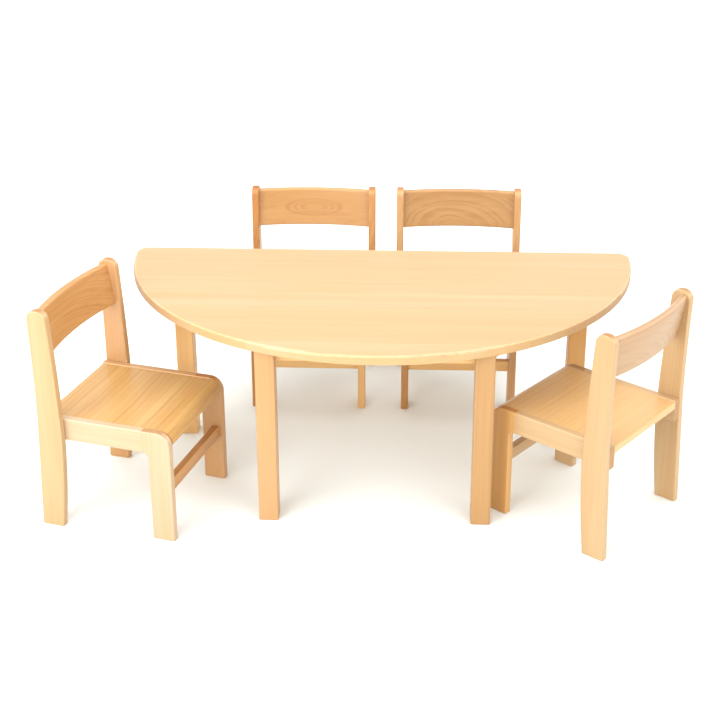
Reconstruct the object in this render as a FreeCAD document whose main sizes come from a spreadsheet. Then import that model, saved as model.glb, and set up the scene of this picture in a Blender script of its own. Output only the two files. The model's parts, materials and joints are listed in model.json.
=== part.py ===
import FreeCAD, Part
import math
import os
import Sketcher

# A half-round beech table for small children, with four stacking chairs around it.
# Everything is in millimetres, +Z is up and the table's straight edge faces +Y.
# Table pieces are drawn about the centre of the round edge, on the floor.
# Chair pieces are drawn in the chair's own frame: the floor point midway between the
# backs of the two rear feet, with +Y towards the sitter's knees.
# At the end the whole set is shifted so that its footprint's centre is the origin.

doc = FreeCAD.newDocument("kids_table_and_chairs")

# ---------------------------------------------------------------- driving sizes
SIZES = {
    # table
    "table_radius": 600,
    "table_height": 428,
    "top_board": 21,
    "straight_edge_offset": 7,
    "top_corner_radius": 30,
    "top_upper_round": 6,
    "top_under_round": 2,
    "table_leg": 42,
    "table_leg_round": 3,
    "front_leg_spread": 460,
    "front_leg_edge_inset": 4,
    "back_leg_end_inset": 132,
    "back_leg_setback": 147,
    "apron_board": 18,
    "apron_depth": 30,
    "front_apron_recess": 20,
    "side_apron_shift": 6,
    "block_gap": 14,
    "block_reach": 62,
    "screw_shank": 4,
    "screw_length": 46,
    "screw_head": 9,
    "screw_head_depth": 3,
    "screw_clearance": 0.1,
    "back_screw_spread": 500,
    "front_screw_spread": 200,
    # chair frame
    "chair_width": 324,
    "chair_depth": 305,
    "chair_board": 18,
    "frame_edge_round": 3,
    "rail_top": 255,
    "rail_depth": 50,
    "rail_setback": 10,
    "post_height": 505,
    "post_foot": 50,
    "post_top_width": 44,
    "post_top_back": 6,
    "post_knee_back": 10,
    "post_knee_front": 65,
    "post_knee_height": 216,
    "post_front_bow_low": 3,
    "post_front_bow_high": 2,
    "post_back_bow": 2,
    "post_top_round": 21,
    "front_leg_width": 50,
    "front_leg_outer_round": 32,
    "front_leg_inner_round": 13,
    "inner_round_relief": 0.5,
    "foot_chamfer": 1.5,
    # seat, back and stretcher
    "seat_board": 18,
    "seat_drop": 2,
    "seat_nose_depth": 28,
    "seat_nose_round": 27,
    "seat_nose_inner_round": 8,
    "seat_back_round": 3,
    "back_board": 17,
    "back_bottom": 400,
    "back_top": 496,
    "back_front_at_bottom": 47,
    "back_curve": 16,
    "back_lean": 9.8,
    "back_top_round": 8,
    "back_bottom_round": 3,
    "stretcher_board": 18,
    "stretcher_depth": 28,
    "stretcher_bottom": 107,
    "stretcher_setback": 9,
    "stretcher_round": 3,
    # dowels
    "dowel_diameter": 8,
    "dowel_length": 24,
    "dowel_clearance": 0.1,
    "bore_spare": 0.5,
    # where the chairs stand
    "back_chair_spacing": 380,
    "back_chair_shift": 5,
    "back_chair_tuck": 20,
    "left_chair_bearing": 220.5,
    "left_chair_tuck": 55,
    "left_chair_swivel": -55.6,
    "right_chair_bearing": 315.6,
    "right_chair_tuck": 112,
    "right_chair_swivel": 5.8,
}

sheet = doc.addObject("Spreadsheet::Sheet", "sizes")
for row, (word, value) in enumerate(SIZES.items(), start=1):
    sheet.set(f"A{row}", word)
    sheet.set(f"B{row}", str(value))
    sheet.setAlias(f"B{row}", word)
doc.recompute()


class Size:
    """A size worked out from the sheet: its number, and the formula that gives it."""

    def __init__(self, number, formula):
        self.number = number
        self.formula = formula

    def combine(self, sign, other, number):
        return Size(number, f"({self.formula} {sign} {as_size(other).formula})")

    def __add__(self, other):
        return self.combine("+", other, self.number + as_size(other).number)

    def __sub__(self, other):
        return self.combine("-", other, self.number - as_size(other).number)

    def __mul__(self, other):
        return self.combine("*", other, self.number * as_size(other).number)

    def __truediv__(self, other):
        return self.combine("/", other, self.number / as_size(other).number)

    def __neg__(self):
        return Size(-self.number, f"(0 - {self.formula})")


def as_size(value):
    """Lets a plain count, such as 0 or 2, stand in a formula beside a size."""
    return value if isinstance(value, Size) else Size(float(value), f"{value}")


def size(word):
    return Size(float(sheet.get(word)), f"sizes.{word}")


def root(value):
    return Size(math.sqrt(value.number), f"sqrt({value.formula})")


def tangent(degrees):
    return Size(math.tan(math.radians(degrees.number)), f"tan({degrees.formula})")


# ---------------------------------------------------------------- modelling helpers
sub_parts = []


def new_body(label):
    body = doc.addObject("PartDesign::Body", label)
    body.Label = label
    sub_parts.append(body)
    return body


def new_sketch(body, name, plane, offset=as_size(0)):
    """A sketch on one of the body's own origin planes, moved along the plane's normal."""
    sketch = body.newObject("Sketcher::SketchObject", f"{body.Name}_{name}")
    support = [item for item in body.Origin.OriginFeatures if item.Role == plane][0]
    sketch.AttachmentSupport = (support, [""])
    sketch.MapMode = "FlatFace"
    sketch.AttachmentOffset = FreeCAD.Placement(
        FreeCAD.Vector(0, 0, offset.number), FreeCAD.Rotation())
    sketch.setExpression("AttachmentOffset.Base.z", offset.formula)
    return sketch


def bind(sketch, kind, references, value, name):
    """Adds a dimension to a sketch and ties it to the sheet."""
    index = sketch.addConstraint(Sketcher.Constraint(kind, *references, value.number))
    sketch.renameConstraint(index, name)
    sketch.setExpression(f"Constraints.{name}", value.formula)


def draw_outline(sketch, corners, bows=None):
    """Draws a closed outline, counter-clockwise, and dimensions each corner.

    bows gives the sides that are arcs: side number -> (bow, +1 bulging out or -1 in).
    """
    corners = [(as_size(x), as_size(y)) for x, y in corners]
    bows = bows or {}
    ends = []
    for side, (start, end) in enumerate(zip(corners, corners[1:] + corners[:1])):
        first = FreeCAD.Vector(start[0].number, start[1].number, 0)
        last = FreeCAD.Vector(end[0].number, end[1].number, 0)
        if side not in bows:
            index = sketch.addGeometry(Part.LineSegment(first, last), False)
            ends.append((index, 1, 2))
            continue
        bow, turn = bows[side]
        across = end[0] - start[0]
        along = end[1] - start[1]
        radius = (across * across + along * along) / (bow * 8) + bow / 2
        chord = last - first
        left = FreeCAD.Vector(-chord.y, chord.x, 0)
        left.normalize()
        centre = (first + last) * 0.5 + left * (turn * (radius.number - bow.number))
        circle = Part.Circle(centre, FreeCAD.Vector(0, 0, 1), radius.number)
        low, high = (first, last) if turn > 0 else (last, first)
        arc = Part.ArcOfCircle(circle, circle.parameter(low), circle.parameter(high))
        index = sketch.addGeometry(arc, False)
        ends.append((index, 1, 2) if turn > 0 else (index, 2, 1))
        bind(sketch, "Radius", [index], radius, f"side_{side}_radius")
    for side, (index, _, last_end) in enumerate(ends):
        following, first_end, _ = ends[(side + 1) % len(ends)]
        sketch.addConstraint(
            Sketcher.Constraint("Coincident", index, last_end, following, first_end))
    for side, (index, first_end, _) in enumerate(ends):
        bind(sketch, "DistanceX", [-1, 1, index, first_end], corners[side][0], f"x_{side}")
        bind(sketch, "DistanceY", [-1, 1, index, first_end], corners[side][1], f"y_{side}")


def draw_circles(sketch, centres, radius):
    for number, (x, y) in enumerate(centres):
        middle = FreeCAD.Vector(x.number, y.number, 0)
        circle = Part.Circle(middle, FreeCAD.Vector(0, 0, 1), radius.number)
        index = sketch.addGeometry(circle, False)
        bind(sketch, "DistanceX", [-1, 1, index, 3], x, f"x_{number}")
        bind(sketch, "DistanceY", [-1, 1, index, 3], y, f"y_{number}")
        bind(sketch, "Radius", [index], radius, f"radius_{number}")


def pad(body, sketch, length):
    feature = body.newObject("PartDesign::Pad", f"{body.Name}_pad")
    feature.Profile = sketch
    feature.setExpression("Length", length.formula)
    doc.recompute()
    return feature


def cut_pocket(body, name, sketch, depth, reverse, count, radius):
    """Cuts round holes, and stops if they took away less wood than they should."""
    before = body.Shape.Volume
    feature = body.newObject("PartDesign::Pocket", f"{body.Name}_{name}_holes")
    feature.Profile = sketch
    feature.setExpression("Length", depth.formula)
    feature.Reversed = reverse
    doc.recompute()
    expected = count * math.pi * radius.number ** 2 * depth.number
    if before - body.Shape.Volume < 0.9 * expected:
        raise RuntimeError(f"{body.Label}: the {name} holes miss the wood")


def bore(body, name, plane, offset, centres, reverse):
    """Cuts blind dowel holes from a plane; reverse sends them along its normal."""
    sketch = new_sketch(body, name, plane, offset)
    draw_circles(sketch, centres, bore_radius)
    cut_pocket(body, name, sketch, bore_depth, reverse, len(centres), bore_radius)


def edge_names(shape, wanted):
    return [f"Edge{number}" for number, edge in enumerate(shape.Edges, start=1) if wanted(edge)]


def round_edges(body, name, radius, wanted):
    base = body.Tip
    feature = body.newObject("PartDesign::Fillet", f"{body.Name}_{name}")
    feature.Base = (base, edge_names(base.Shape, wanted))
    feature.setExpression("Radius", radius.formula)
    doc.recompute()


def chamfer_edges(body, name, length, wanted):
    base = body.Tip
    feature = body.newObject("PartDesign::Chamfer", f"{body.Name}_{name}")
    feature.Base = (base, edge_names(base.Shape, wanted))
    feature.setExpression("Size", length.formula)
    doc.recompute()


CLOSE = 0.01  # how near two positions count as the same place


def lies_at(edge, axis, place):
    """True if the whole edge lies in the plane where that axis has that value."""
    box = edge.BoundBox
    low = getattr(box, f"{axis}Min")
    high = getattr(box, f"{axis}Max")
    return abs(low - place.number) < CLOSE and abs(high - place.number) < CLOSE


def runs_along(edge, axis):
    """True if the edge is straight and parallel to that axis."""
    box = edge.BoundBox
    others = [getattr(box, f"{other}Length") for other in "XYZ" if other != axis]
    return max(others) < CLOSE


# ---------------------------------------------------------------- shared sizes
dowel_radius = size("dowel_diameter") / 2
bore_radius = dowel_radius + size("dowel_clearance")
bore_depth = size("dowel_length") / 2 + size("bore_spare")
screw_radius = size("screw_shank") / 2
screw_hole_radius = screw_radius + size("screw_clearance")
floor = as_size(0)

# table, seen from above: the straight edge lies a little behind the arc's centre
straight_edge = size("straight_edge_offset")
under_top = size("table_height") - size("top_board")
leg_half = size("table_leg") / 2
front_leg_x = size("front_leg_spread") / 2
corner_reach = size("table_radius") - size("front_leg_edge_inset")
corner_x = front_leg_x + leg_half
front_leg_y = leg_half - root(corner_reach * corner_reach - corner_x * corner_x)
back_leg_x = size("table_radius") - size("back_leg_end_inset")
back_leg_y = straight_edge - size("back_leg_setback")
apron_bottom = under_top - size("apron_depth")
apron_half = size("apron_board") / 2
front_apron_y = front_leg_y - leg_half + size("front_apron_recess") + apron_half
apron_dowel_heights = [apron_bottom + size("apron_depth") * share / 4 for share in (1, 3)]

# the side aprons run slantwise from the back legs' front faces to the front legs' backs
side_back_x = back_leg_x - size("side_apron_shift")
side_back_y = back_leg_y - leg_half
side_front_x = front_leg_x + size("side_apron_shift")
side_front_y = front_leg_y + leg_half
side_run_x = side_back_x - side_front_x
side_run_y = side_back_y - side_front_y
side_length = root(side_run_x * side_run_x + side_run_y * side_run_y)
side_foot_half = apron_half * side_length / side_run_y

# chair, seen from the side
post_inner = size("chair_width") / 2 - size("chair_board")
rail_inner = post_inner - size("chair_board")
rail_bottom = size("rail_top") - size("rail_depth")
leg_back = size("chair_depth") - size("front_leg_width")
seam = leg_back - size("front_leg_inner_round")
seat_top = size("rail_top") - size("seat_drop")
seat_under = seat_top - size("seat_board")
nose_bottom = seat_top - size("seat_nose_depth")
stretcher_front = size("chair_depth") - size("stretcher_setback")
stretcher_back = stretcher_front - size("stretcher_board")
stretcher_top = size("stretcher_bottom") + size("stretcher_depth")
back_lean_slope = tangent(size("back_lean"))


# ---------------------------------------------------------------- table
def make_table_top():
    body = new_body("table_top")
    sketch = new_sketch(body, "outline", "XY_Plane", under_top)
    radius = size("table_radius")
    # Two equal arcs meet at the front, and each ends on the straight edge.
    end_x = root(radius * radius - straight_edge * straight_edge)
    depth = radius + straight_edge
    half_chord = root(end_x * end_x + depth * depth) / 2
    bow = radius - root(radius * radius - half_chord * half_chord)
    draw_outline(
        sketch,
        [(-end_x, straight_edge), (0, -radius), (end_x, straight_edge)],
        {0: (bow, 1), 1: (bow, 1)})
    pad(body, sketch, size("top_board"))
    round_edges(body, "corners", size("top_corner_radius"),
                lambda edge: runs_along(edge, "Z") and lies_at(edge, "Y", straight_edge))
    round_edges(body, "upper_edge", size("top_upper_round"),
                lambda edge: lies_at(edge, "Z", size("table_height")))
    round_edges(body, "under_edge", size("top_under_round"),
                lambda edge: lies_at(edge, "Z", under_top))
    bite = size("screw_length") - size("apron_depth") + size("bore_spare")
    drill_screw_holes(body, under_top, bite, all_screws())


def make_table_leg(label, x, y, side, row):
    """A square leg, with bores for the long apron on its inner side and the side apron."""
    body = new_body(label)
    sketch = new_sketch(body, "outline", "XY_Plane")
    draw_outline(sketch, [
        (x - leg_half, y - leg_half),
        (x + leg_half, y - leg_half),
        (x + leg_half, y + leg_half),
        (x - leg_half, y + leg_half)])
    pad(body, sketch, under_top)
    round_edges(body, "arrises", size("table_leg_round"),
                lambda edge: runs_along(edge, "Z"))
    chamfer_edges(body, "foot", size("foot_chamfer"),
                  lambda edge: lies_at(edge, "Z", floor))
    apron_y = front_apron_y if row == "front" else back_leg_y
    inner_face = x - leg_half * side
    bore(body, "long_apron", "YZ_Plane", inner_face,
         [(apron_y, height) for height in apron_dowel_heights], side > 0)
    if row == "front":
        bore(body, "side_apron", "XZ_Plane", -side_front_y,
             [(side_front_x * side, height) for height in apron_dowel_heights], True)
    else:
        bore(body, "side_apron", "XZ_Plane", -side_back_y,
             [(side_back_x * side, height) for height in apron_dowel_heights], False)


def make_long_apron(label, middle_y, end_x, screw_spread):
    body = new_body(label)
    sketch = new_sketch(body, "outline", "XY_Plane", apron_bottom)
    draw_outline(sketch, [
        (-end_x, middle_y - apron_half),
        (end_x, middle_y - apron_half),
        (end_x, middle_y + apron_half),
        (-end_x, middle_y + apron_half)])
    pad(body, sketch, size("apron_depth"))
    centres = [(middle_y, height) for height in apron_dowel_heights]
    bore(body, "left_end", "YZ_Plane", -end_x, centres, True)
    bore(body, "right_end", "YZ_Plane", end_x, centres, False)
    drill_screw_holes(body, apron_bottom, size("apron_depth"),
                      long_apron_screws(middle_y, screw_spread))


def make_side_apron(label, side):
    body = new_body(label)
    sketch = new_sketch(body, "outline", "XY_Plane", apron_bottom)
    corners = [
        (side_front_x - side_foot_half, side_front_y),
        (side_front_x + side_foot_half, side_front_y),
        (side_back_x + side_foot_half, side_back_y),
        (side_back_x - side_foot_half, side_back_y)]
    if side < 0:
        corners = [(-x, y) for x, y in reversed(corners)]
    draw_outline(sketch, corners)
    pad(body, sketch, size("apron_depth"))
    bore(body, "front_end", "XZ_Plane", -side_front_y,
         [(side_front_x * side, height) for height in apron_dowel_heights], False)
    bore(body, "back_end", "XZ_Plane", -side_back_y,
         [(side_back_x * side, height) for height in apron_dowel_heights], True)


def block_corners(row):
    """The corner block's outline on the +X side: two points on each apron's inner face."""
    ux = side_run_x / side_length
    uy = side_run_y / side_length
    if row == "front":
        start_x, start_y, way = side_front_x, side_front_y, 1
        long_face = front_apron_y + apron_half
        leg_face = front_leg_x - leg_half
    else:
        start_x, start_y, way = side_back_x, side_back_y, -1
        long_face = back_leg_y - apron_half
        leg_face = back_leg_x - leg_half
    inner_x = start_x - apron_half * uy
    inner_y = start_y + apron_half * ux

    def on_side_apron(distance):
        return (inner_x + ux * distance * way, inner_y + uy * distance * way)

    near_long = (leg_face - size("block_gap"), long_face)
    far_long = (leg_face - size("block_reach"), long_face)
    near_side = on_side_apron(size("block_gap") + apron_half)
    far_side = on_side_apron(size("block_reach"))
    corners = [near_long, near_side, far_side, far_long]
    return corners if row == "front" else list(reversed(corners))


def block_middle(side, row):
    corners = block_corners(row)
    middle_x = (corners[0][0] + corners[1][0] + corners[2][0] + corners[3][0]) / 4
    middle_y = (corners[0][1] + corners[1][1] + corners[2][1] + corners[3][1]) / 4
    return (middle_x * side, middle_y)


def long_apron_screws(middle_y, spread):
    return [(spread / 2 * side, middle_y) for side in (-1, 1)]


def all_screws():
    """Where every screw goes up into the top, seen from above."""
    spots = [block_middle(side, row) for side in (-1, 1) for row in ("front", "back")]
    spots += long_apron_screws(front_apron_y, size("front_screw_spread"))
    spots += long_apron_screws(back_leg_y, size("back_screw_spread"))
    return spots


def drill_screw_holes(body, bottom, depth, spots):
    sketch = new_sketch(body, "screws", "XY_Plane", bottom)
    draw_circles(sketch, spots, screw_hole_radius)
    cut_pocket(body, "screws", sketch, depth, True, len(spots), screw_hole_radius)


def make_corner_block(label, side, row):
    """A block glued across the corner between two aprons, with a screw up into the top."""
    body = new_body(label)
    corners = block_corners(row)
    if side < 0:
        corners = [(-x, y) for x, y in reversed(corners)]
    sketch = new_sketch(body, "outline", "XY_Plane", apron_bottom)
    draw_outline(sketch, corners)
    pad(body, sketch, size("apron_depth"))
    drill_screw_holes(body, apron_bottom, size("apron_depth"), [block_middle(side, row)])


# ---------------------------------------------------------------- chair
def side_plane(side, inner):
    """The offset of the sketch plane for an upright board whose inner face is at inner."""
    return inner if side > 0 else -(inner + size("chair_board"))


def in_side_faces(edge, side, inner):
    return (lies_at(edge, "X", inner * side)
            or lies_at(edge, "X", (inner + size("chair_board")) * side))


lap_dowels = [(size("rail_setback") + size("post_foot") * share / 10,
               rail_bottom + size("rail_depth") / 2) for share in (3, 7)]
back_middle = size("back_front_at_bottom") - size("back_board") / 2
back_height = size("back_top") - size("back_bottom")
back_dowels = [(back_middle - back_height * share / 4 * back_lean_slope,
                size("back_bottom") + back_height * share / 4) for share in (1, 3)]
seat_dowels = [(size("rail_setback") + (seam - size("rail_setback")) * share / 10,
                seat_under + size("seat_board") / 2) for share in (3, 6, 9)]
stretcher_dowels = [(stretcher_back + size("stretcher_board") / 2,
                     size("stretcher_bottom") + size("stretcher_depth") * share / 4)
                    for share in (1, 3)]
seam_dowel_heights = [rail_bottom + size("rail_depth") * share / 10 for share in (3, 7)]
rail_middle = rail_inner + size("chair_board") / 2


def make_rear_post(label, side):
    body = new_body(label)
    shoulder = size("post_height")
    sketch = new_sketch(body, "outline", "YZ_Plane", side_plane(side, post_inner))
    top_back = size("post_top_back")
    draw_outline(
        sketch,
        [(0, 0),
         (size("post_foot"), 0),
         (size("post_knee_front"), size("post_knee_height")),
         (top_back + size("post_top_width"), shoulder),
         (top_back, shoulder),
         (size("post_knee_back"), size("rail_top"))],
        {1: (size("post_front_bow_low"), 1),
         2: (size("post_front_bow_high"), 1),
         4: (size("post_back_bow"), -1)})
    pad(body, sketch, size("chair_board"))
    round_edges(body, "crown", size("post_top_round"),
                lambda edge: runs_along(edge, "X") and lies_at(edge, "Z", shoulder))
    round_edges(body, "arrises", size("frame_edge_round"),
                lambda edge: in_side_faces(edge, side, post_inner)
                and not lies_at(edge, "Z", floor))
    chamfer_edges(body, "foot", size("foot_chamfer"),
                  lambda edge: lies_at(edge, "Z", floor))
    bore(body, "inner_face", "YZ_Plane", post_inner * side, lap_dowels + back_dowels, side > 0)
    return body


def make_side_rail(label, side):
    body = new_body(label)
    sketch = new_sketch(body, "outline", "YZ_Plane", side_plane(side, rail_inner))
    draw_outline(sketch, [
        (size("rail_setback"), rail_bottom),
        (seam, rail_bottom),
        (seam, size("rail_top")),
        (size("rail_setback"), size("rail_top"))])
    pad(body, sketch, size("chair_board"))
    round_edges(body, "arrises", size("frame_edge_round"),
                lambda edge: runs_along(edge, "Y"))
    bore(body, "outer_face", "YZ_Plane", post_inner * side, lap_dowels, side < 0)
    bore(body, "inner_face", "YZ_Plane", rail_inner * side, seat_dowels, side > 0)
    bore(body, "front_end", "XZ_Plane", -seam,
         [(rail_middle * side, height) for height in seam_dowel_heights], True)
    return body


def make_front_leg(label, side):
    body = new_body(label)
    sketch = new_sketch(body, "outline", "YZ_Plane", side_plane(side, rail_inner))
    front = size("chair_depth")
    draw_outline(sketch, [
        (leg_back, 0),
        (front, 0),
        (front, size("rail_top")),
        (seam, size("rail_top")),
        (seam, rail_bottom),
        (leg_back, rail_bottom)])
    pad(body, sketch, size("chair_board"))
    round_edges(body, "outer_corner", size("front_leg_outer_round"),
                lambda edge: runs_along(edge, "X") and lies_at(edge, "Y", front)
                and lies_at(edge, "Z", size("rail_top")))
    round_edges(body, "inner_corner", size("front_leg_inner_round") - size("inner_round_relief"),
                lambda edge: runs_along(edge, "X") and lies_at(edge, "Y", leg_back)
                and lies_at(edge, "Z", rail_bottom))
    round_edges(body, "arrises", size("frame_edge_round"),
                lambda edge: in_side_faces(edge, side, rail_inner)
                and not lies_at(edge, "Z", floor) and not lies_at(edge, "Y", seam))
    chamfer_edges(body, "foot", size("foot_chamfer"),
                  lambda edge: lies_at(edge, "Z", floor))
    bore(body, "rail_end", "XZ_Plane", -seam,
         [(rail_middle * side, height) for height in seam_dowel_heights], False)
    bore(body, "inner_face", "YZ_Plane", rail_inner * side, stretcher_dowels, side > 0)
    return body


def make_seat(label):
    """A board with a rolled front edge that dips between the front legs."""
    body = new_body(label)
    sketch = new_sketch(body, "outline", "YZ_Plane", -rail_inner)
    front = size("chair_depth")
    lip_back = front - size("seat_board")
    draw_outline(sketch, [
        (size("rail_setback"), seat_under),
        (lip_back, seat_under),
        (lip_back, nose_bottom),
        (front, nose_bottom),
        (front, seat_top),
        (size("rail_setback"), seat_top)])
    pad(body, sketch, rail_inner * 2)
    round_edges(body, "nose", size("seat_nose_round"),
                lambda edge: runs_along(edge, "X") and lies_at(edge, "Y", front)
                and lies_at(edge, "Z", seat_top))
    round_edges(body, "lip", size("seat_nose_inner_round"),
                lambda edge: runs_along(edge, "X") and lies_at(edge, "Y", lip_back)
                and lies_at(edge, "Z", seat_under))
    round_edges(body, "back_edge", size("seat_back_round"),
                lambda edge: runs_along(edge, "X") and lies_at(edge, "Y", size("rail_setback")))
    bore(body, "left_edge", "YZ_Plane", -rail_inner, seat_dowels, True)
    bore(body, "right_edge", "YZ_Plane", rail_inner, seat_dowels, False)
    return body


def make_backrest(label):
    """A bent board, hollow towards the sitter, that leans back between the rear posts."""
    body = new_body(label)
    sketch = new_sketch(body, "outline", "XY_Plane", size("back_bottom"))
    front = size("back_front_at_bottom")
    rear = front - size("back_board")
    draw_outline(
        sketch,
        [(-post_inner, rear), (post_inner, rear), (post_inner, front), (-post_inner, front)],
        {0: (size("back_curve"), 1), 2: (size("back_curve"), -1)})
    feature = body.newObject("PartDesign::Pad", f"{body.Name}_pad")
    feature.Profile = sketch
    feature.UseCustomVector = True
    feature.Direction = FreeCAD.Vector(0, -back_lean_slope.number, 1)
    feature.AlongSketchNormal = True
    feature.setExpression("Direction.y", (-back_lean_slope).formula)
    feature.setExpression("Length", back_height.formula)
    doc.recompute()
    round_edges(body, "top_edge", size("back_top_round"),
                lambda edge: lies_at(edge, "Z", size("back_top"))
                and not runs_along(edge, "Y"))
    round_edges(body, "bottom_edge", size("back_bottom_round"),
                lambda edge: lies_at(edge, "Z", size("back_bottom"))
                and not runs_along(edge, "Y"))
    bore(body, "left_end", "YZ_Plane", -post_inner, back_dowels, True)
    bore(body, "right_end", "YZ_Plane", post_inner, back_dowels, False)
    return body


def make_stretcher(label):
    body = new_body(label)
    sketch = new_sketch(body, "outline", "YZ_Plane", -rail_inner)
    draw_outline(sketch, [
        (stretcher_back, size("stretcher_bottom")),
        (stretcher_front, size("stretcher_bottom")),
        (stretcher_front, stretcher_top),
        (stretcher_back, stretcher_top)])
    pad(body, sketch, rail_inner * 2)
    round_edges(body, "arrises", size("stretcher_round"),
                lambda edge: runs_along(edge, "X"))
    bore(body, "left_end", "YZ_Plane", -rail_inner, stretcher_dowels, True)
    bore(body, "right_end", "YZ_Plane", rail_inner, stretcher_dowels, False)
    return body


# ---------------------------------------------------------------- pins and screws
ALONG_X = FreeCAD.Rotation(FreeCAD.Vector(0, 1, 0), 90)
ALONG_Y = FreeCAD.Rotation(FreeCAD.Vector(1, 0, 0), -90)
UPWARD = FreeCAD.Rotation()


def make_pin(name, radius, length, start, rotation):
    """A round pin from its start point, along the way that its rotation turns +Z."""
    pin = doc.addObject("Part::Cylinder", name)
    pin.Placement = FreeCAD.Placement(FreeCAD.Vector(), rotation)
    pin.setExpression("Radius", radius.formula)
    pin.setExpression("Height", length.formula)
    for axis, place in zip("xyz", start):
        pin.setExpression(f"Placement.Base.{axis}", as_size(place).formula)
    return pin


def dowel_pins(owner, along_x, along_y):
    """Dowels whose middles are the given joint points, lying along X or along Y."""
    length = size("dowel_length")
    pins = []
    for number, (x, y, z) in enumerate(along_x):
        start = (x - length / 2, y, z)
        pins.append(make_pin(f"{owner}_dowel_x{number}", dowel_radius, length, start, ALONG_X))
    for number, (x, y, z) in enumerate(along_y):
        start = (x, y - length / 2, z)
        pins.append(make_pin(f"{owner}_dowel_y{number}", dowel_radius, length, start, ALONG_Y))
    return pins


def chair_dowel_pins():
    along_x = []
    for side in (1, -1):
        along_x += [(post_inner * side, y, z) for y, z in lap_dowels + back_dowels]
        along_x += [(rail_inner * side, y, z) for y, z in seat_dowels + stretcher_dowels]
    along_y = [(rail_middle * side, seam, height)
               for side in (1, -1) for height in seam_dowel_heights]
    return dowel_pins("chair", along_x, along_y)


def table_dowel_pins():
    along_x = []
    along_y = []
    for side in (1, -1):
        for height in apron_dowel_heights:
            along_x.append(((front_leg_x - leg_half) * side, front_apron_y, height))
            along_x.append(((back_leg_x - leg_half) * side, back_leg_y, height))
            along_y.append((side_front_x * side, side_front_y, height))
            along_y.append((side_back_x * side, side_back_y, height))
    return dowel_pins("table", along_x, along_y)


def table_screw_pieces():
    """Pan-head screws: the head is under the apron or block, the shank ends in the top."""
    screws = []
    head_bottom = apron_bottom - size("screw_head_depth")
    for number, (x, y) in enumerate(all_screws()):
        shank = make_pin(f"screw_shank_{number}", screw_radius, size("screw_length"),
                         (x, y, apron_bottom), UPWARD)
        head = make_pin(f"screw_head_{number}", size("screw_head") / 2,
                        size("screw_head_depth"), (x, y, head_bottom), UPWARD)
        screw = doc.addObject("Part::Fuse", f"screw_{number}")
        screw.Base = shank
        screw.Tool = head
        screws.append(screw)
    return screws


def make_group(label, pieces):
    group = doc.addObject("Part::Compound", label)
    group.Label = label
    group.Links = pieces
    sub_parts.append(group)
    return group


# ---------------------------------------------------------------- the chairs' places
def make_pattern_chair():
    """One chair in its own frame; the four chairs of the set are copies of its pieces."""
    return {
        "rear_post_left": make_rear_post("pattern_rear_post_left", -1),
        "rear_post_right": make_rear_post("pattern_rear_post_right", 1),
        "side_rail_left": make_side_rail("pattern_side_rail_left", -1),
        "side_rail_right": make_side_rail("pattern_side_rail_right", 1),
        "front_leg_left": make_front_leg("pattern_front_leg_left", -1),
        "front_leg_right": make_front_leg("pattern_front_leg_right", 1),
        "seat": make_seat("pattern_seat"),
        "backrest": make_backrest("pattern_backrest"),
        "stretcher": make_stretcher("pattern_stretcher"),
    }


def copy_piece(body, label, stand):
    copy = doc.addObject("PartDesign::Body", label)
    copy.Label = label
    base = doc.addObject("PartDesign::FeatureBase", f"{label}_base")
    copy.Group = [base]
    base.BaseFeature = body
    copy.Tip = base
    copy.Placement = stand
    sub_parts.append(copy)


def stand_at(middle_x, middle_y, facing):
    """Where a chair's own frame goes so that its middle is there and it faces that way."""
    turn = FreeCAD.Rotation(FreeCAD.Vector(0, 0, 1), facing - 90)
    middle = FreeCAD.Vector(0, size("chair_depth").number / 2, 0)
    base = FreeCAD.Vector(middle_x, middle_y, 0) - turn.multVec(middle)
    return FreeCAD.Placement(base, turn)


def stand_round_arc(word):
    """A chair at a bearing round the arc, its front tucked under the table's edge."""
    bearing = size(f"{word}_chair_bearing").number
    reach = (size("table_radius") + size("chair_depth") / 2 - size(f"{word}_chair_tuck")).number
    middle_x = reach * math.cos(math.radians(bearing))
    middle_y = reach * math.sin(math.radians(bearing))
    return stand_at(middle_x, middle_y, bearing + 180 + size(f"{word}_chair_swivel").number)


def chair_stands():
    half_spacing = size("back_chair_spacing").number / 2
    shift = size("back_chair_shift").number
    back_y = (straight_edge + size("chair_depth") / 2 - size("back_chair_tuck")).number
    return {
        "left_chair": stand_round_arc("left"),
        "right_chair": stand_round_arc("right"),
        "back_left_chair": stand_at(shift - half_spacing, back_y, -90),
        "back_right_chair": stand_at(shift + half_spacing, back_y, -90),
    }


# ---------------------------------------------------------------- checking and writing
def check_model():
    for item in doc.Objects:
        if "Invalid" in item.State or "Error" in item.State:
            raise RuntimeError(f"{item.Label} could not be worked out: {item.State}")
    for piece in sub_parts:
        if piece.Shape.isNull() or not piece.Shape.isValid():
            raise RuntimeError(f"{piece.Label} has no sound shape")


def exported_parts():
    return [piece for piece in sub_parts if not piece.Label.startswith("pattern_")]


def stand_on_origin():
    """Moves every piece so that the set's footprint is centred on the origin."""
    whole = FreeCAD.BoundBox()
    for piece in exported_parts():
        whole.add(piece.Shape.optimalBoundingBox(False))
    shift = FreeCAD.Placement(
        FreeCAD.Vector(-whole.Center.x, -whole.Center.y, -whole.ZMin), FreeCAD.Rotation())
    for piece in exported_parts():
        piece.Placement = shift.multiply(piece.Placement)


def write_parts():
    os.makedirs("parts", exist_ok=True)
    for piece in exported_parts():
        piece.Shape.exportStep(f"parts/{piece.Label}.step")


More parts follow.
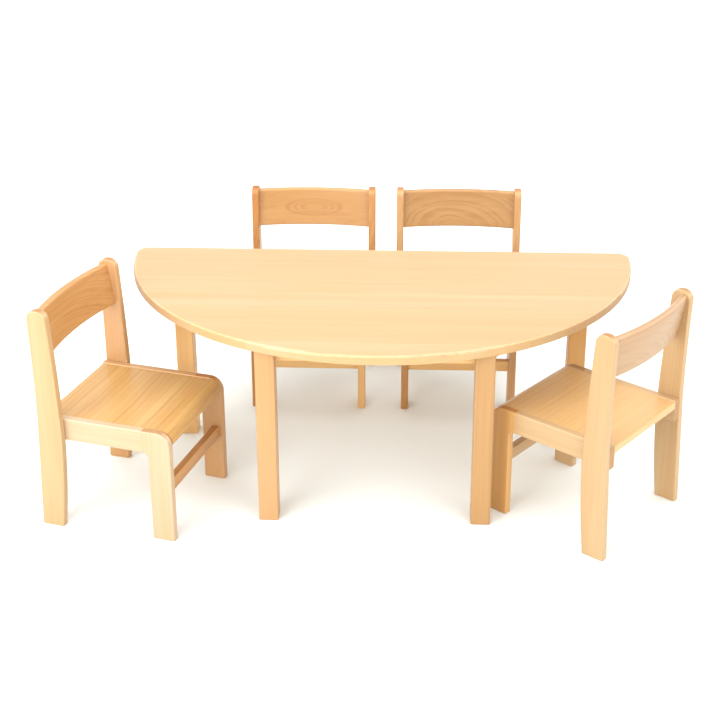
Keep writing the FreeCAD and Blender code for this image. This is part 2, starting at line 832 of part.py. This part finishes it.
# ---------------------------------------------------------------- the set
make_table_top()
for word, side in (("left", -1), ("right", 1)):
    make_table_leg(f"table_leg_front_{word}", front_leg_x * side, front_leg_y, side, "front")
    make_table_leg(f"table_leg_back_{word}", back_leg_x * side, back_leg_y, side, "back")
    make_side_apron(f"table_apron_{word}", side)
    make_corner_block(f"corner_block_front_{word}", side, "front")
    make_corner_block(f"corner_block_back_{word}", side, "back")
make_long_apron("table_apron_front", front_apron_y, front_leg_x - leg_half,
                size("front_screw_spread"))
make_long_apron("table_apron_back", back_leg_y, back_leg_x - leg_half,
                size("back_screw_spread"))
make_group("table_dowels", table_dowel_pins())
make_group("table_screws", table_screw_pieces())

pattern = make_pattern_chair()
pattern_dowels = chair_dowel_pins()
for name, stand in chair_stands().items():
    for piece, body in pattern.items():
        copy_piece(body, f"{name}_{piece}", stand)
    dowels = make_group(f"{name}_dowels", pattern_dowels)
    dowels.Placement = stand
doc.recompute()

check_model()
stand_on_origin()
write_parts()
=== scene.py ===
"""The looks of a nursery set: a half-round beech table with four small beech chairs.

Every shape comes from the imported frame. This script gives each wooden piece its own cut of
beech, with the grain along the piece as a joiner would lay it, and sets up the studio.
"""

import json
import math

import bpy
from mathutils import Matrix, Vector


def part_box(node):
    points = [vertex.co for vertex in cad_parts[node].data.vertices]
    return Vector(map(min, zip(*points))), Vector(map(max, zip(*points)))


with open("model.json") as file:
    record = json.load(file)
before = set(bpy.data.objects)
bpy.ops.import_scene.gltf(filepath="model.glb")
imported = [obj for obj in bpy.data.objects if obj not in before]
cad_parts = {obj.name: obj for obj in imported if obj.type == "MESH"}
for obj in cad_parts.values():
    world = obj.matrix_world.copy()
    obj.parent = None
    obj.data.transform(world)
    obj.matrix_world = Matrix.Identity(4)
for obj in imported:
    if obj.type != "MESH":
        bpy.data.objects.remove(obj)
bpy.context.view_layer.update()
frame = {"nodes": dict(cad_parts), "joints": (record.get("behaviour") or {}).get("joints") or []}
NODES = frame["nodes"]

# ---------------------------------------------------------------- the studio
CAMERA_PLACE = Vector((0.0973, -2.7721, 1.5557))
CAMERA_DOWN = 0.3628
CAMERA_TURN = 0.0436
CAMERA_ROLL = -0.0023
CAMERA_LENS = 64.66
CAMERA_SHIFT = -0.154
FILM_WIDTH = 36.0
FLOOR_SIZE = 60.0
FLOOR_COLOUR = (0.83, 0.87, 0.865)
FLOOR_ROUGHNESS = 0.9
FLOOR_GLOSS = 0.1
SKY_COLOUR = (0.985, 1.0, 0.99)
SKY_STRENGTH = 1.6
LAMP_COLOUR = (1.0, 0.995, 0.985)
AIM = Vector((0.0, -0.1, 0.2))
# name: place, watts, width in metres; every soft box looks at the middle of the set
SOFT_BOXES = {
    "box_front_left": (Vector((-1.5, -1.9, 1.4)), 48.0, 2.0),
    "box_front_right": (Vector((1.7, -2.2, 1.5)), 23.0, 2.0),
    "box_overhead": (Vector((0.3, 0.2, 3.0)), 24.0, 2.4),
}


def set_camera():
    """A long lens that looks down on the set from the front, a little from the right."""
    data = bpy.data.cameras.new("camera")
    data.lens = CAMERA_LENS
    data.sensor_width = FILM_WIDTH
    data.shift_y = CAMERA_SHIFT
    data.clip_end = FLOOR_SIZE
    camera = bpy.data.objects.new("camera", data)
    bpy.context.scene.collection.objects.link(camera)
    turn = Matrix.Rotation(CAMERA_TURN, 4, "Z")
    tilt = Matrix.Rotation(math.pi / 2 - CAMERA_DOWN, 4, "X")
    roll = Matrix.Rotation(CAMERA_ROLL, 4, "Z")
    camera.matrix_world = Matrix.Translation(CAMERA_PLACE) @ turn @ tilt @ roll
    bpy.context.scene.camera = camera


def set_lamps():
    """Two large soft boxes beside the camera, one overhead, and an even white sky."""
    for name, (place, watts, width) in SOFT_BOXES.items():
        data = bpy.data.lights.new(name, "AREA")
        data.shape = "DISK"
        data.size = width
        data.energy = watts
        data.color = LAMP_COLOUR
        lamp = bpy.data.objects.new(name, data)
        lamp.location = place
        lamp.rotation_mode = "QUATERNION"
        lamp.rotation_quaternion = (place - AIM).to_track_quat("Z", "Y")
        bpy.context.scene.collection.objects.link(lamp)
    world = bpy.data.worlds.new("sky")
    world.use_nodes = True
    background = world.node_tree.nodes["Background"]
    background.inputs["Color"].default_value = (*SKY_COLOUR, 1.0)
    background.inputs["Strength"].default_value = SKY_STRENGTH
    bpy.context.scene.world = world
    bpy.context.scene.view_settings.view_transform = "Standard"


def set_floor():
    """A plain pale floor that runs out of sight."""
    half = FLOOR_SIZE / 2
    mesh = bpy.data.meshes.new("floor")
    corners = [(-half, -half, 0), (half, -half, 0), (half, half, 0), (-half, half, 0)]
    mesh.from_pydata(corners, [], [(0, 1, 2, 3)])
    floor = bpy.data.objects.new("floor", mesh)
    bpy.context.scene.collection.objects.link(floor)
    material = bpy.data.materials.new("floor_paper")
    material.use_nodes = True
    shader = material.node_tree.nodes["Principled BSDF"]
    shader.inputs["Base Color"].default_value = (*FLOOR_COLOUR, 1.0)
    shader.inputs["Roughness"].default_value = FLOOR_ROUGHNESS
    shader.inputs["Specular IOR Level"].default_value = FLOOR_GLOSS
    mesh.materials.append(material)


# ---------------------------------------------------------------- shader nodes
def feed(tree, socket, value):
    """Gives a socket a link or a plain value."""
    if isinstance(value, bpy.types.NodeSocket):
        tree.links.new(value, socket)
    elif socket.type == "RGBA" and len(value) == 3:
        socket.default_value = (*value, 1.0)
    else:
        socket.default_value = value


def add(tree, kind, values, **settings):
    """A new node with its settings and inputs; its outputs come back."""
    node = tree.nodes.new(kind)
    for name, value in settings.items():
        setattr(node, name, value)
    for key, value in values.items():
        feed(tree, node.inputs[key], value)
    return node.outputs


def calc(tree, operation, first, second=0.0):
    return add(tree, "ShaderNodeMath", {0: first, 1: second}, operation=operation)["Value"]


def vector_calc(tree, operation, first, second=(0.0, 0.0, 0.0)):
    result = add(tree, "ShaderNodeVectorMath", {0: first, 1: second}, operation=operation)
    return result["Value" if operation in ("LENGTH", "DOT_PRODUCT") else "Vector"]


def blend(tree, share, first, second, mode="MIX"):
    """Two colours mixed by a share from 0 to 1."""
    values = {0: share, 6: first, 7: second}
    return add(tree, "ShaderNodeMix", values, data_type="RGBA", blend_type=mode)[2]


def spread(tree, value, low, high, new_low, new_high):
    """value from low to high becomes new_low to new_high, smoothly, and stops there."""
    values = {"Value": value, 1: low, 2: high, 3: new_low, 4: new_high}
    return add(tree, "ShaderNodeMapRange", values, interpolation_type="SMOOTHSTEP")["Result"]


def noise(tree, place, scales, detail=2.0, roughness=0.5):
    """Noise whose grain is finer the larger each of its three scales is, per metre."""
    stretched = vector_calc(tree, "MULTIPLY", place, scales)
    return add(
        tree,
        "ShaderNodeTexNoise",
        {"Vector": stretched, "Scale": 1.0, "Detail": detail, "Roughness": roughness},
    )


# ---------------------------------------------------------------- beech
# The group works in the wood's own axes, in metres: X along the grain, Y across the face
# and Z through the board.
BEECH_INPUTS = (
    ("Place", "NodeSocketVector"),
    ("Grain", "NodeSocketVector"),
    ("Pale", "NodeSocketColor"),
    ("Warm", "NodeSocketColor"),
    ("Line", "NodeSocketColor"),
    ("Pith", "NodeSocketVector"),
    ("Closing", "NodeSocketFloat"),
    ("Ring Width", "NodeSocketFloat"),
    ("Wander", "NodeSocketFloat"),
    ("Figure", "NodeSocketFloat"),
    ("Figure Reach", "NodeSocketFloat"),
    ("Painted Highlight", "NodeSocketFloat"),
    ("Board Width", "NodeSocketFloat"),
    ("Board Shift", "NodeSocketFloat"),
    ("Board Tint", "NodeSocketFloat"),
    ("Seed", "NodeSocketFloat"),
)
FLECK_COLOUR = (0.36, 0.17, 0.07)
END_GRAIN_SHADE = (0.78, 0.62, 0.46)
SEAM_SHADE = (1.06, 1.05, 1.02)
# Painted highlight: how much paler the upward-facing rounds are painted.
PAINTED_HIGHLIGHT_TINT = (1.25, 1.34, 1.6)

# How far apart in the log the boards are cut: in metres along it and across it, and in years.
BOARD_JUMP = (9.0, 3.1, 0)
YEARS_JUMP = 7.0
# Lean years make some rings narrower: how quickly they come round, and by how much.
LEAN_YEARS_PACE = 2.3
LEAN_YEARS_SHIFT = 0.3
# Shares of a ring's width: where its wood darkens, and where the next ring's begins.
LATE_WOOD = (0.35, 0.9)
RING_END = (0.92, 1.0)
# The figure fades between these shares of its reach.
REACH_EDGE = (0.8, 1.2)

# How fine each kind of noise is: along the grain, across it and through the board.
WANDER_SCALES = (3.0, 10.0, 10.0)
RING_FADE_SCALES = (2.0, 60.0, 60.0)
TONE_SCALES = (1.3, 16.0, 16.0)
FIBRE_SCALES = (7.0, 420.0, 420.0)
STREAK_SCALES = (2.2, 85.0, 85.0)
FLECK_SCALES = (210.0, 900.0, 900.0)

# Noise lies mostly between these two values.
NOISE_LOW = 0.3
NOISE_HIGH = 0.7
STREAK_LEVELS = (0.5, 0.72)
FLECK_EDGE = (0.1, 0.26)
FAINTEST_RING = 0.25
LINES_PAST_REACH = 0.15
STREAK_STRENGTH = 0.22
FLECK_STRENGTH = 0.2
DARK_FIBRE = 0.955
LIGHT_FIBRE = 1.03
# A seam begins and ends this far from the middle of its board, as a share of the board.
SEAM_START = 0.455
SEAM_END = 0.495
# How far a face turns towards the grain before it counts as end grain.
END_GRAIN_FACING = (0.55, 0.97)
# How far a rounded edge faces up where its painted highlight begins, and where it fades out.
HIGHLIGHT_START = (0.3, 0.6)
HIGHLIGHT_END = (0.86, 0.985)

LACQUER_ROUGHNESS = (0.34, 0.44)
END_GRAIN_ROUGHER = 0.15
FLECK_DEPTH = 0.6
GRAIN_RELIEF = 0.12
GRAIN_DEPTH = 0.0004
GLOSS = 0.3
COAT_WEIGHT = 0.15
COAT_ROUGHNESS = 0.24
STEEL_MARK_SCALES = (900.0, 900.0, 4000.0)
STEEL_ROUGHNESS = (0.28, 0.42)
DARK_STEEL = (0.52, 0.5, 0.46)
LIGHT_STEEL = (0.66, 0.65, 0.62)


def make_beech_group():
    """One recipe for beech: growth rings about a pith, boards, fibres, flecks, end grain."""
    tree = bpy.data.node_groups.new("beech", "ShaderNodeTree")
    for name, kind in BEECH_INPUTS:
        tree.interface.new_socket(name, in_out="INPUT", socket_type=kind)
    for name, kind in (("Color", "Color"), ("Roughness", "Float"), ("Height", "Float")):
        tree.interface.new_socket(name, in_out="OUTPUT", socket_type="NodeSocket" + kind)
    given = tree.nodes.new("NodeGroupInput").outputs
    place = given["Place"]

    # Which board a point is on, and how that board differs from its neighbours.
    across = add(tree, "ShaderNodeSeparateXYZ", {0: place})["Y"]
    boards = calc(tree, "DIVIDE", across, given["Board Width"])
    boards = calc(tree, "ADD", boards, given["Board Shift"])
    board = calc(tree, "FLOOR", boards)
    to_seam = calc(tree, "ABSOLUTE", calc(tree, "SUBTRACT", calc(tree, "FRACT", boards), 0.5))
    board_key = calc(tree, "ADD", board, given["Seed"])
    board_noise = add(tree, "ShaderNodeTexWhiteNoise", {"W": board_key}, noise_dimensions="1D")

    # Each piece, and each board in it, is cut from another place in the log.
    shift = add(tree, "ShaderNodeCombineXYZ", {0: board_noise["Value"], 1: board_key})[0]
    sampled = vector_calc(tree, "ADD", place, vector_calc(tree, "MULTIPLY", shift, BOARD_JUMP))

    # Growth rings: how far a point is from the pith, which wanders along the log.
    wander = noise(tree, sampled, WANDER_SCALES, detail=3.0)["Color"]
    wander = vector_calc(tree, "SUBTRACT", wander, (0.5, 0.5, 0.5))
    amount = add(tree, "ShaderNodeVectorMath", {0: wander, 3: given["Wander"]}, operation="SCALE")
    from_pith = vector_calc(tree, "ADD", place, amount["Vector"])
    from_pith = vector_calc(tree, "SUBTRACT", from_pith, given["Pith"])
    flatten = add(tree, "ShaderNodeCombineXYZ", {0: given["Closing"], 1: 1.0, 2: 1.0})[0]
    distance = vector_calc(tree, "LENGTH", vector_calc(tree, "MULTIPLY", from_pith, flatten))
    rings = calc(tree, "DIVIDE", distance, given["Ring Width"])
    rings = calc(tree, "ADD", rings, calc(tree, "MULTIPLY", board_noise["Value"], YEARS_JUMP))
    lean_years = calc(tree, "SINE", calc(tree, "MULTIPLY", rings, LEAN_YEARS_PACE))
    rings = calc(tree, "ADD", rings, calc(tree, "MULTIPLY", lean_years, LEAN_YEARS_SHIFT))
    in_ring = calc(tree, "FRACT", rings)
    late_wood = spread(tree, in_ring, *LATE_WOOD, 0.0, 1.0)
    before_next = spread(tree, in_ring, *RING_END, 1.0, 0.0)
    ring_line = calc(tree, "MULTIPLY", late_wood, before_next)
    ring_fade = noise(tree, sampled, RING_FADE_SCALES)["Fac"]
    ring_fade = spread(tree, ring_fade, NOISE_LOW, NOISE_HIGH, FAINTEST_RING, 1.0)
    ring_line = calc(tree, "MULTIPLY", ring_line, ring_fade)

    # Slow changes of tone, fine fibres and the short dark flecks of beech.
    tone = noise(tree, sampled, TONE_SCALES, detail=3.0)["Fac"]
    fibres = noise(tree, sampled, FIBRE_SCALES, detail=4.0, roughness=0.65)["Fac"]
    streaks = noise(tree, sampled, STREAK_SCALES, detail=3.0)["Fac"]
    fleck_place = vector_calc(tree, "MULTIPLY", sampled, FLECK_SCALES)
    fleck = add(tree, "ShaderNodeTexVoronoi", {"Vector": fleck_place, "Scale": 1.0})["Distance"]
    fleck = spread(tree, fleck, *FLECK_EDGE, 1.0, 0.0)

    warm_share = spread(tree, tone, NOISE_LOW, NOISE_HIGH, 0.0, 1.0)
    colour = blend(tree, warm_share, given["Pale"], given["Warm"])
    board_share = calc(tree, "MULTIPLY", board_noise["Value"], given["Board Tint"])
    colour = blend(tree, board_share, colour, given["Warm"])
    past_reach = calc(tree, "DIVIDE", distance, given["Figure Reach"])
    past_reach = spread(tree, past_reach, *REACH_EDGE, 1.0, LINES_PAST_REACH)
    line_share = calc(tree, "MULTIPLY", ring_line, past_reach)
    line_share = calc(tree, "MULTIPLY", line_share, given["Figure"])
    colour = blend(tree, line_share, colour, given["Line"])
    streak_share = spread(tree, streaks, *STREAK_LEVELS, 0.0, STREAK_STRENGTH)
    colour = blend(tree, streak_share, colour, given["Line"])
    light = spread(tree, fibres, NOISE_LOW, NOISE_HIGH, DARK_FIBRE, LIGHT_FIBRE)
    fibre_light = add(tree, "ShaderNodeCombineXYZ", {0: light, 1: light, 2: light})[0]
    colour = blend(tree, 1.0, colour, fibre_light, mode="MULTIPLY")
    fleck_share = calc(tree, "MULTIPLY", fleck, FLECK_STRENGTH)
    colour = blend(tree, fleck_share, colour, FLECK_COLOUR)
    seam = spread(tree, to_seam, SEAM_START, SEAM_END, 0.0, 1.0)
    seam = calc(tree, "MULTIPLY", seam, given["Board Tint"])
    colour = blend(tree, seam, colour, blend(tree, 1.0, colour, SEAM_SHADE, mode="MULTIPLY"))

    # Where the fibres are cut across, the wood drinks more lacquer and turns darker.
    normal = add(tree, "ShaderNodeTexCoord", {})["Normal"]
    facing = calc(tree, "ABSOLUTE", vector_calc(tree, "DOT_PRODUCT", normal, given["Grain"]))
    end_grain = spread(tree, facing, *END_GRAIN_FACING, 0.0, 1.0)
    colour = blend(tree, end_grain, colour, blend(tree, 1.0, colour, END_GRAIN_SHADE, mode="MULTIPLY"))

    # Painted highlight: the rounds between upper faces and sides are painted paler, as if they caught
    # the light.
    upward = add(tree, "ShaderNodeSeparateXYZ", {0: normal})["Z"]
    highlight_rise = spread(tree, upward, *HIGHLIGHT_START, 0.0, 1.0)
    highlight_fall = spread(tree, upward, *HIGHLIGHT_END, 1.0, 0.0)
    painted_highlight = calc(tree, "MULTIPLY", calc(tree, "MULTIPLY", highlight_rise, highlight_fall), given["Painted Highlight"])
    colour = blend(tree, painted_highlight, colour, blend(tree, 1.0, colour, PAINTED_HIGHLIGHT_TINT, mode="MULTIPLY"))

    roughness = spread(tree, fibres, NOISE_LOW, NOISE_HIGH, *LACQUER_ROUGHNESS)
    rougher = calc(tree, "MULTIPLY", end_grain, END_GRAIN_ROUGHER)
    roughness = calc(tree, "ADD", roughness, rougher)
    height = calc(tree, "SUBTRACT", fibres, calc(tree, "MULTIPLY", fleck, FLECK_DEPTH))
    result = tree.nodes.new("NodeGroupOutput").inputs
    feed(tree, result["Color"], colour)
    feed(tree, result["Roughness"], roughness)
    feed(tree, result["Height"], height)
    return tree


BEECH = make_beech_group()


# Tones of lacquered beech, as linear red, green and blue.
TOP = {"Pale": (0.48, 0.33, 0.175), "Warm": (0.47, 0.292, 0.13), "Line": (0.42, 0.23, 0.085)}
IVORY = {"Pale": (0.5, 0.355, 0.228), "Warm": (0.475, 0.31, 0.17), "Line": (0.42, 0.235, 0.1)}
SAND = {"Pale": (0.48, 0.32, 0.168), "Warm": (0.46, 0.28, 0.13), "Line": (0.4, 0.215, 0.085)}
# A pale tone with painted light in it: it lifts pieces that sit in shade under the table top or under
# a seat.
SHADE_LIFT_BLOND = {"Pale": (0.69, 0.42, 0.172), "Warm": (0.65, 0.365, 0.13), "Line": (0.54, 0.27, 0.085)}
PEACH = {"Pale": (0.5, 0.285, 0.135), "Warm": (0.47, 0.25, 0.1), "Line": (0.4, 0.185, 0.06)}
# Partly the seat's own paler wood and partly painted light, lifting the right chair's seat where the
# table top shades its front.
CREAM_WITH_SHADE_LIFT = {"Pale": (0.62, 0.4, 0.19), "Warm": (0.58, 0.35, 0.145), "Line": (0.5, 0.27, 0.09)}
HONEY = {"Pale": (0.57, 0.365, 0.15), "Warm": (0.48, 0.26, 0.078), "Line": (0.34, 0.15, 0.04)}
AMBER = {"Pale": (0.48, 0.24, 0.085), "Warm": (0.43, 0.2, 0.06), "Line": (0.3, 0.115, 0.028)}
APRICOT = {"Pale": (0.48, 0.262, 0.108), "Warm": (0.43, 0.218, 0.076), "Line": (0.3, 0.122, 0.036)}
GINGER = {"Pale": (0.57, 0.31, 0.11), "Warm": (0.53, 0.265, 0.082), "Line": (0.42, 0.19, 0.05)}
COPPER = {"Pale": (0.42, 0.188, 0.058), "Warm": (0.38, 0.15, 0.04), "Line": (0.3, 0.1, 0.022)}
TAN = {"Pale": (0.41, 0.225, 0.088), "Warm": (0.38, 0.195, 0.07), "Line": (0.27, 0.12, 0.035)}
ROSE = {"Pale": (0.43, 0.265, 0.145), "Warm": (0.4, 0.23, 0.115), "Line": (0.28, 0.145, 0.062)}
BARE = {"Pale": (0.46, 0.33, 0.19), "Warm": (0.42, 0.29, 0.15), "Line": (0.37, 0.23, 0.11)}

# How a plain piece is figured. The pith is where the rings centre, in metres from the middle
# of the piece, and it strays by the wander. Closing is 0 for straight lines and 1 for round
# rings. Past the figure's reach from the pith, in metres, the ring lines are faint.
ONE_BOARD = 10.0
EVERYWHERE = 100.0
STRAIGHT = {
    "Pith": (0.0, 0.22, 0.05),
    "Closing": 0.0,
    "Ring Width": 0.0042,
    "Wander": 0.012,
    "Figure": 0.3,
    "Figure Reach": EVERYWHERE,
    # how strongly the upward rounds carry the painted highlight
    "Painted Highlight": 0.7,
    "Board Width": ONE_BOARD,
    "Board Shift": 0.5,
    "Board Tint": 0.0,
}


def beech(name, centre, axes, looks, seed):
    """A material for one piece. axes has the wood's own axes as columns, in the shared frame."""
    material = bpy.data.materials.new(name)
    material.use_nodes = True
    tree = material.node_tree
    shader = tree.nodes["Principled BSDF"]
    place = add(
        tree,
        "ShaderNodeMapping",
        {
            "Vector": add(tree, "ShaderNodeTexCoord", {})["Object"],
            "Location": centre,
            "Rotation": axes.to_euler(),
        },
        vector_type="TEXTURE",
    )[0]
    wood = tree.nodes.new("ShaderNodeGroup")
    wood.node_tree = BEECH
    values = {**STRAIGHT, **looks, "Place": place, "Grain": axes.col[0], "Seed": float(seed)}
    for key, value in values.items():
        feed(tree, wood.inputs[key], value)
    bump = add(
        tree,
        "ShaderNodeBump",
        {"Height": wood.outputs["Height"], "Strength": GRAIN_RELIEF, "Distance": GRAIN_DEPTH},
    )["Normal"]
    feed(tree, shader.inputs["Base Color"], wood.outputs["Color"])
    feed(tree, shader.inputs["Roughness"], wood.outputs["Roughness"])
    feed(tree, shader.inputs["Normal"], bump)
    shader.inputs["Specular IOR Level"].default_value = GLOSS
    shader.inputs["Coat Weight"].default_value = COAT_WEIGHT
    shader.inputs["Coat Roughness"].default_value = COAT_ROUGHNESS
    return material


def brushed_steel(name):
    """Zinc plated steel with fine turning marks."""
    material = bpy.data.materials.new(name)
    material.use_nodes = True
    tree = material.node_tree
    shader = tree.nodes["Principled BSDF"]
    place = add(tree, "ShaderNodeTexCoord", {})["Object"]
    marks = noise(tree, place, STEEL_MARK_SCALES, detail=3.0)["Fac"]
    colour = blend(tree, marks, DARK_STEEL, LIGHT_STEEL)
    feed(tree, shader.inputs["Base Color"], colour)
    roughness = spread(tree, marks, NOISE_LOW, NOISE_HIGH, *STEEL_ROUGHNESS)
    feed(tree, shader.inputs["Roughness"], roughness)
    shader.inputs["Metallic"].default_value = 1.0
    return material


# ---------------------------------------------------------------- which wood goes where
X, Y, Z = Vector((1, 0, 0)), Vector((0, 1, 0)), Vector((0, 0, 1))


def wood_axes(grain, through, turn=0.0):
    """The wood's axes: X along the grain, Z through the board, both turned about upright."""
    axes = Matrix((grain, through.cross(grain), through)).transposed()
    return Matrix.Rotation(turn, 3, "Z") @ axes


def centre_of(node):
    low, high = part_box(node)
    return (low + high) / 2


def wear(node, material):
    """Puts a material on a CAD node."""
    for slot in NODES[node].material_slots:
        slot.material = material


def dress(node, axes, looks, seed, centre=None):
    """Gives a node its own cut of beech. The seed says which part of the log it comes from."""
    wear(node, beech("wood_" + node, centre or centre_of(node), axes, looks, seed))


# Every leg was cut from another plank, so their tones differ; the back left leg's pale blond is
# painted light that lifts it in the shade under the top.
TABLE_LEG_TONES = {
    "front_left": PEACH,
    "front_right": TAN,
    "back_left": SHADE_LIFT_BLOND,
    "back_right": GINGER,
}


def dress_table():
    top_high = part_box("table_top")[1]
    seam_from_straight_edge = 0.457
    board_width = 0.088
    seam = Vector((0.0, top_high.y - seam_from_straight_edge, top_high.z))
    looks = {
        **TOP,
        "Board Width": board_width,
        "Board Shift": 0.0,
        "Board Tint": 0.75,
        "Pith": (0.0, 0.1, -0.35),
        "Ring Width": 0.006,
        "Figure": 0.22,
        "Painted Highlight": 0.9,
    }
    dress("table_top", wood_axes(X, Z), looks, 3, centre=seam)
    for number, (leg, tone) in enumerate(TABLE_LEG_TONES.items()):
        dress("table_leg_" + leg, wood_axes(Z, Y), tone, 11 + number)
    # The aprons take the pale blond tone as painted light against the shade under the top.
    for number, apron in enumerate(("front", "back")):
        dress("table_apron_" + apron, wood_axes(X, Y), SHADE_LIFT_BLOND, 21 + number)
    for number, side in enumerate(("left", "right")):
        run = centre_of("table_leg_back_" + side) - centre_of("table_leg_front_" + side)
        turn = math.atan2(run.y, run.x)
        dress("table_apron_" + side, wood_axes(X, Y, turn), SHADE_LIFT_BLOND, 25 + number)
    for number, corner in enumerate(TABLE_LEG_TONES):
        dress("corner_block_" + corner, wood_axes(X, Z), BARE, 31 + number)
    dress("table_dowels", wood_axes(X, Z), BARE, 37)
    wear("table_screws", brushed_steel("screw_steel"))


# How each chair's backrest is figured: long waves, faint rings, ovals or arches. The pith's
# first number is along the board and its second is down from the board's middle.
BACKREST_FIGURES = {
    "left_chair": {
        **AMBER,
        "Pith": (0.1, 0.09, 0.0),
        "Closing": 0.36,
        "Ring Width": 0.0085,
        "Wander": 0.03,
        "Figure": 0.45,
    },
    "right_chair": {
        **ROSE,
        "Painted Highlight": 0.9,
        "Pith": (-0.1, 0.05, 0.0),
        "Closing": 0.4,
        "Ring Width": 0.011,
        "Wander": 0.03,
        "Figure": 0.25,
    },
    "back_left_chair": {
        **APRICOT,
        "Pith": (0.0, 0.002, 0.0),
        "Closing": 0.3,
        "Ring Width": 0.008,
        "Wander": 0.01,
        "Figure": 0.42,
        "Figure Reach": 0.027,
    },
    "back_right_chair": {
        **TAN,
        "Pith": (0.01, 0.05, 0.0),
        "Closing": 0.5,
        "Ring Width": 0.013,
        "Wander": 0.055,
        "Figure": 0.5,
    },
}
SEAT_BOARDS = {
    "Board Width": 0.098,
    "Board Shift": 0.4,
    "Board Tint": 0.95,
    "Ring Width": 0.009,
    "Wander": 0.03,
    "Figure": 0.42,
    "Painted Highlight": 0.0,
}
FRAME_TONES = {
    "left_chair": IVORY,
    "right_chair": SAND,
    "back_left_chair": AMBER,
    "back_right_chair": PEACH,
}
SEAT_TONES = {
    "left_chair": HONEY,
    "right_chair": CREAM_WITH_SHADE_LIFT,
    "back_left_chair": HONEY,
    "back_right_chair": HONEY,
}
# pieces in another tone than the rest of their chair: most are cut from another plank, and the pale
# blond ones are lifted with painted light where they sit in shade
ODD_PLANKS = {
    "left_chair_rear_post_left": PEACH,
    "left_chair_rear_post_right": SAND,
    "left_chair_front_leg_left": PEACH,
    "left_chair_side_rail_left": PEACH,
    "left_chair_stretcher": AMBER,
    "right_chair_front_leg_left": GINGER,
    "back_left_chair_rear_post_right": COPPER,
    "back_left_chair_front_leg_left": SHADE_LIFT_BLOND,
    "back_left_chair_stretcher": SHADE_LIFT_BLOND,
    "back_right_chair_front_leg_right": AMBER,
    "back_right_chair_stretcher": SHADE_LIFT_BLOND,
}
# piece of a chair: the way of its grain and the way through it, in the chair's own axes
CHAIR_PIECES = {
    "rear_post_left": (Z, X),
    "rear_post_right": (Z, X),
    "front_leg_left": (Z, X),
    "front_leg_right": (Z, X),
    "side_rail_left": (Y, X),
    "side_rail_right": (Y, X),
    "seat": (X, Z),
    "backrest": (X, Y),
    "stretcher": (X, Y),
    "dowels": (X, Z),
}


def dress_chair(number, chair):
    """A chair faces the way that it slides."""
    slide = next(joint for joint in frame["joints"] if joint["child"] == chair)
    turn = math.atan2(slide["axis"][1], slide["axis"][0]) - math.pi / 2
    special_looks = {
        "seat": {**SEAT_TONES[chair], **SEAT_BOARDS},
        "backrest": BACKREST_FIGURES[chair],
        "dowels": BARE,
    }
    for piece_number, (piece, (grain, through)) in enumerate(CHAIR_PIECES.items()):
        node = f"{chair}_{piece}"
        looks = special_looks.get(piece) or ODD_PLANKS.get(node) or FRAME_TONES[chair]
        seed = 100 * (number + 1) + 7 * piece_number
        dress(node, wood_axes(grain, through, turn), looks, seed)


set_camera()
set_floor()
set_lamps()
dress_table()
for number, chair in enumerate(BACKREST_FIGURES):
    dress_chair(number, chair)
